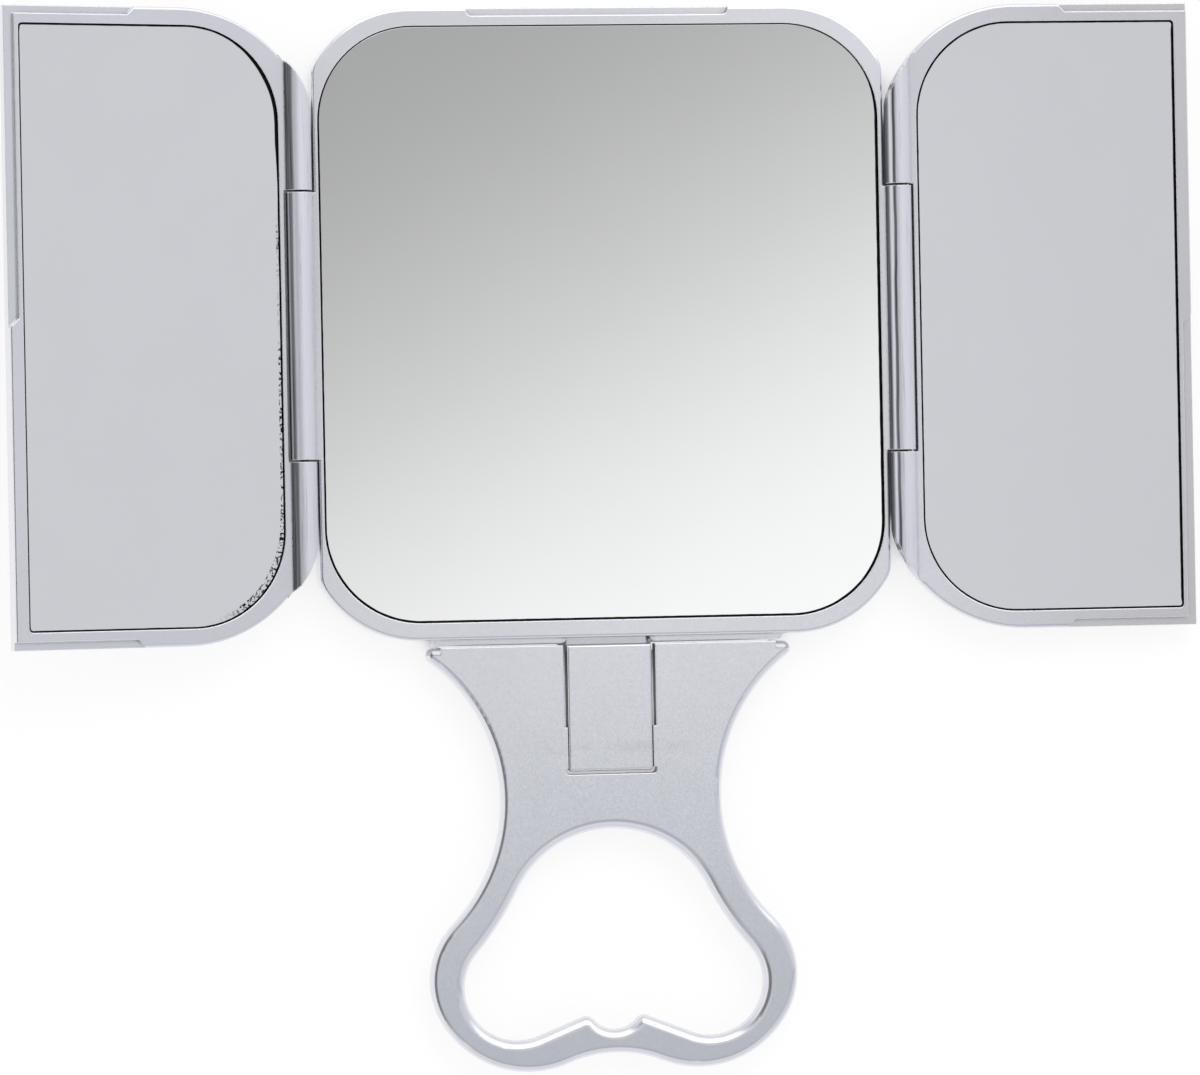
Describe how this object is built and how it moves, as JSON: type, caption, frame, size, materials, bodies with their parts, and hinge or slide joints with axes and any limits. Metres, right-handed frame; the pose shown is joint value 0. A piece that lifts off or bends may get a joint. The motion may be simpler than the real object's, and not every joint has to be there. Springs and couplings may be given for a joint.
{
  "type": "trifold vanity mirror",
  "caption": "Trifold vanity mirror: a centre mirror with two folding wing mirrors and a looped handle on a folding link, for holding, standing or hanging.",
  "frame": {"origin": "middle of the centre frame's flat back face", "axes": "+X to the right along the open wings, +Y to the top of the mirrors, away from the handle, +Z out of the mirrors"},
  "size_m": [0.2907, 0.2578, 0.0283],
  "materials": {
    "silver_plastic": "satin silver paint with a fine flake",
    "mirror": "polished silvered glass",
    "foam_tape": "white double-sided foam tape",
    "steel_pin": "drawn steel wire"
  },
  "bodies": {
    "centre": {"centre_frame": "silver_plastic", "centre_mirror_glass": "mirror", "centre_glass_tape": "foam_tape", "left_hinge_pin_upper": "steel_pin", "left_hinge_pin_lower": "steel_pin", "right_hinge_pin_upper": "steel_pin", "right_hinge_pin_lower": "steel_pin", "link_hinge_pin": "steel_pin"},
    "left_wing": {"left_wing_frame": "silver_plastic", "left_mirror_glass": "mirror", "left_glass_tape": "foam_tape"},
    "right_wing": {"right_wing_frame": "silver_plastic", "right_mirror_glass": "mirror", "right_glass_tape": "foam_tape"},
    "link": {"hinge_link": "silver_plastic"},
    "handle": {"handle": "silver_plastic", "handle_pivot_pin": "steel_pin"}
  },
  "joints": [
    {"name": "left_wing_fold", "type": "hinge", "parent": "centre", "child": "left_wing", "pos_m": [-0.0733, 0, 0.00975], "axis": [0, 1, 0], "range_deg": [-15, 165]},
    {"name": "right_wing_fold", "type": "hinge", "parent": "centre", "child": "right_wing", "pos_m": [0.0733, 0, 0.00975], "axis": [0, -1, 0], "range_deg": [0, 180]},
    {"name": "link_fold", "type": "hinge", "parent": "centre", "child": "link", "pos_m": [0, -0.07585, 0.0022], "axis": [1, 0, 0], "range_deg": [0, 90]},
    {"name": "handle_pivot", "type": "hinge", "parent": "link", "child": "handle", "pos_m": [0, -0.1031, 0.0071], "axis": [1, 0, 0], "range_deg": [0, 100]}
  ]
}
